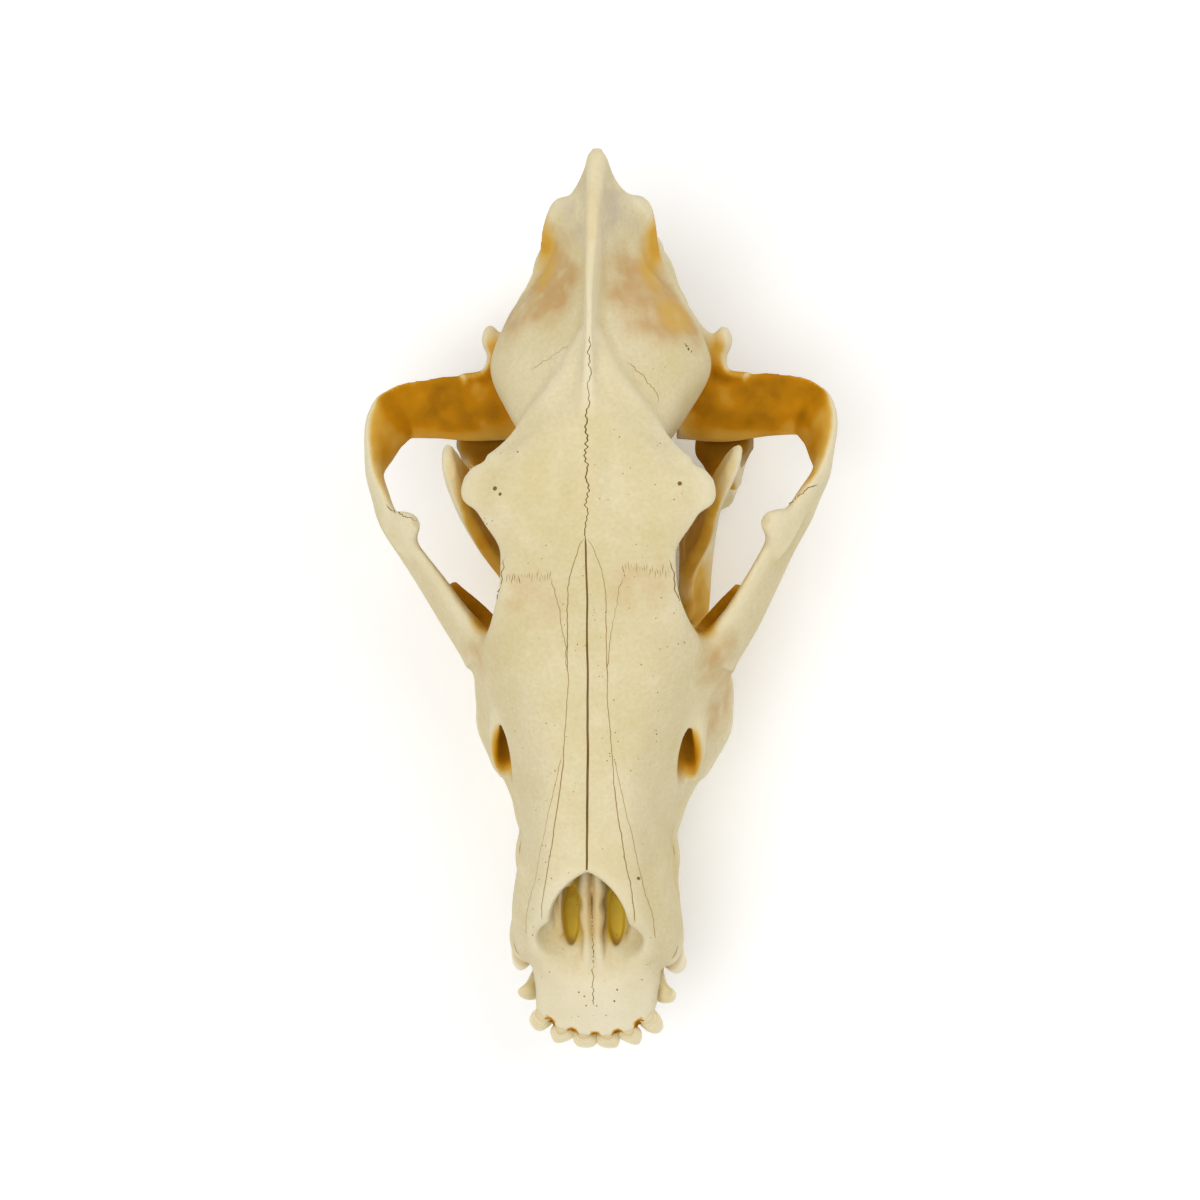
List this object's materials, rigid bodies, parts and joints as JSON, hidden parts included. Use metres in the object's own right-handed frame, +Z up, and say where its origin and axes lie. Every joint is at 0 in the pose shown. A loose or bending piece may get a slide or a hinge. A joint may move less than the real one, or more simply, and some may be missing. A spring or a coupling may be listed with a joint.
{
  "type": "wolf skull",
  "caption": "Life-size museum model of a wolf's skull with its lower jaw closed: crest, brow horns, wide cheek arches and long muzzle with the teeth.",
  "frame": {"origin": "middle of the bounding box, at the level of the surface the skull rests on", "axes": "+Z up, +Y from the front teeth to the back of the head, +X to the animal's left"},
  "size_m": [0.1422, 0.2668, 0.1101],
  "materials": {
    "bone": "matt cleaned bone, pale ivory with ochre stains",
    "face_bone": "matt cleaned bone, pale ivory, with satin enamel teeth",
    "jaw_bone": "matt cleaned bone, pale ivory to ochre, with satin enamel teeth"
  },
  "bodies": {
    "root": {"muzzle": "face_bone", "braincase": "bone", "cheek_arch_left": "bone", "cheek_arch_right": "bone", "lower_jaw_left": "jaw_bone", "lower_jaw_right": "jaw_bone"}
  },
  "joints": []
}
